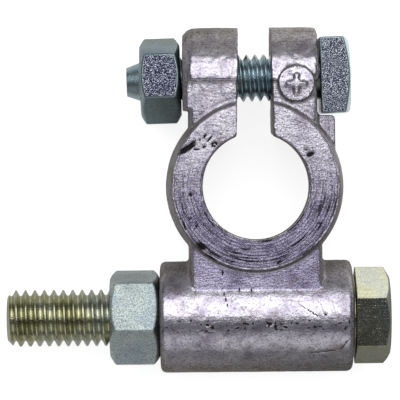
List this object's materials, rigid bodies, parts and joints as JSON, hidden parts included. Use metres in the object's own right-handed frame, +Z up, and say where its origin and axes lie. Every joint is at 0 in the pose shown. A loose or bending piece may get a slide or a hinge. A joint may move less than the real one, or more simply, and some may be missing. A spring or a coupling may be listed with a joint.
{
  "type": "battery terminal adapter",
  "caption": "Cast split clamp for a tapered battery post, with a barrel that holds a threaded stud bolt and nut for cable lugs.",
  "frame": {"origin": "on the post bore's axis, at the ring's top face, where the bore is narrowest", "axes": "+Z up along the battery post, +X along the stud bolt towards its head, +Y from the barrel to the ears"},
  "size_m": [0.0639, 0.058, 0.0188],
  "materials": {
    "cast_lead": "bright lead alloy as cast, grainy, edges tarnished",
    "yellow_zinc": "yellow chromated zinc plate",
    "pale_zinc": "clear chromated zinc plate",
    "blue_zinc": "blue chromated zinc plate"
  },
  "bodies": {
    "casting": {"clamp_casting": "cast_lead"},
    "stud_bolt": {"stud_bolt": "yellow_zinc"},
    "stud_nut": {"stud_nut": "pale_zinc"},
    "clamp_bolt": {"clamp_bolt": "blue_zinc"},
    "clamp_nut": {"clamp_nut": "blue_zinc"}
  },
  "joints": [
    {"name": "stud_turn", "type": "hinge", "parent": "casting", "child": "stud_bolt", "pos_m": [0, -0.0218, -0.0094], "axis": [1, 0, 0], "range_deg": [0, 5220]},
    {"name": "stud_nut_travel", "type": "slide", "parent": "casting", "child": "stud_nut", "axis": [-1, 0, 0], "range_m": [0, 0.02304]},
    {"name": "clamp_nut_turn", "type": "hinge", "parent": "casting", "child": "clamp_nut", "pos_m": [0, 0.0182, -0.0094], "axis": [-0.9997, -0.0244, 0], "range_deg": [0, 1530]},
    {"name": "clamp_bolt_travel", "type": "slide", "parent": "casting", "child": "clamp_bolt", "axis": [0.9997, 0.0244, 0], "range_m": [0, 0.00602]}
  ],
  "couplings": [
    {"joint": "stud_nut_travel", "follows": "stud_turn", "m_per_rad": 0.00025266},
    {"joint": "clamp_bolt_travel", "follows": "clamp_nut_turn", "m_per_rad": 0.00022459}
  ]
}
